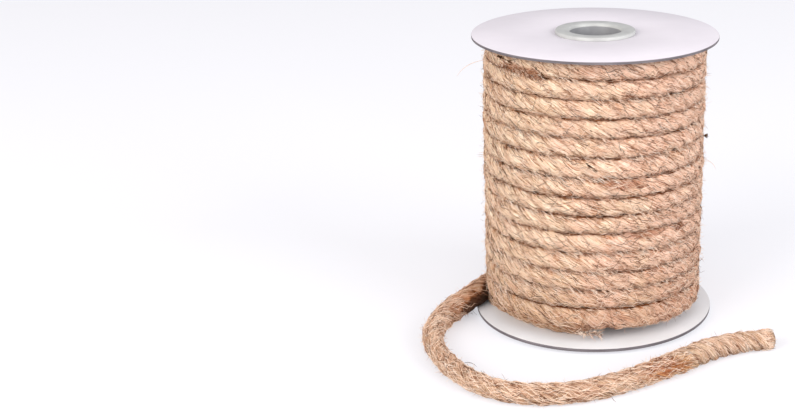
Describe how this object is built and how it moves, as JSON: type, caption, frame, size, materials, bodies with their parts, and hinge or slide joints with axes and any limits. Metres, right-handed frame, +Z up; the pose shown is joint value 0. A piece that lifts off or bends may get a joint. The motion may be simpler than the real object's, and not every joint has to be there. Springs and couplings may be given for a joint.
{
  "type": "roll of rope on a spool",
  "caption": "Small white board spool wound with twisted jute rope, with one loose cut end lying on the surface in front of it.",
  "frame": {"origin": "centre of the base, on the surface that the spool stands on", "axes": "+Z up along the spool's axis; -Y is the front, where the loose end lies"},
  "size_m": [0.1033, 0.1059, 0.0886],
  "materials": {
    "paperboard": "matt white",
    "hub_plastic": "light grey, satin",
    "jute": "undyed, hairy"
  },
  "bodies": {
    "root": {"bottom_flange": "paperboard", "top_flange": "paperboard", "bottom_bushing": "hub_plastic", "top_bushing": "hub_plastic", "rope_roll": "jute", "loose_end": "jute"}
  },
  "joints": []
}
